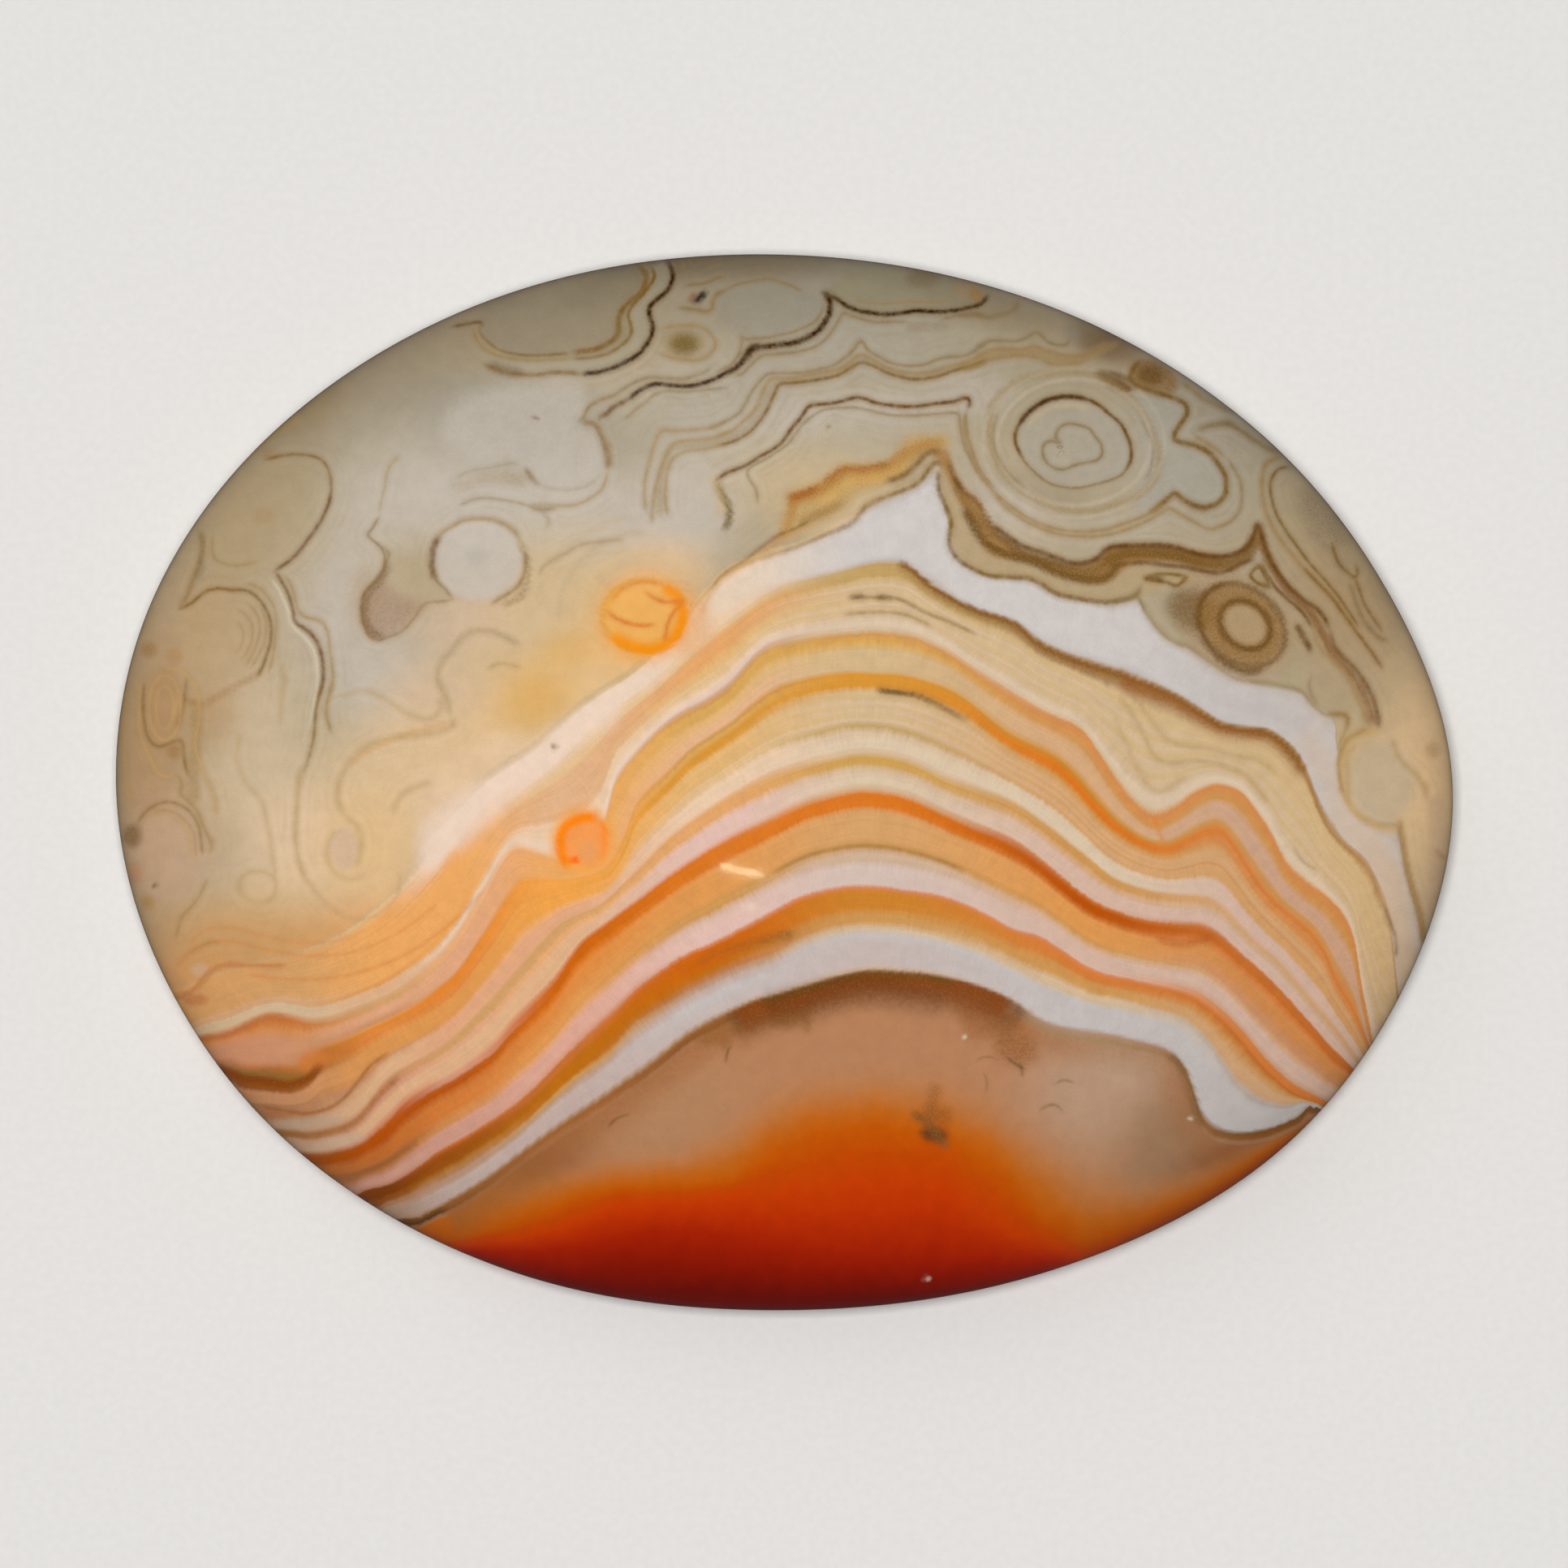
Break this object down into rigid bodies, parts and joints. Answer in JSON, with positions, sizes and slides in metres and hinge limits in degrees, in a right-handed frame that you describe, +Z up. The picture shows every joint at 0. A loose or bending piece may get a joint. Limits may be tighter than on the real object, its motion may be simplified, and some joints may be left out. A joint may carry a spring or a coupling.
{
  "type": "banded agate",
  "caption": "Polished oval banded agate with a flat back and a domed face, a loose ornamental stone that lies face up.",
  "frame": {"origin": "under the middle of the stone's bounding box, on the flat back it rests on", "axes": "+X along the oval's length, +Y across it towards the orb-marked upper edge, +Z up through the domed face"},
  "size_m": [0.04, 0.0316, 0.008],
  "materials": {
    "agate": "polished"
  },
  "bodies": {
    "root": {"agate": "agate"}
  },
  "joints": []
}
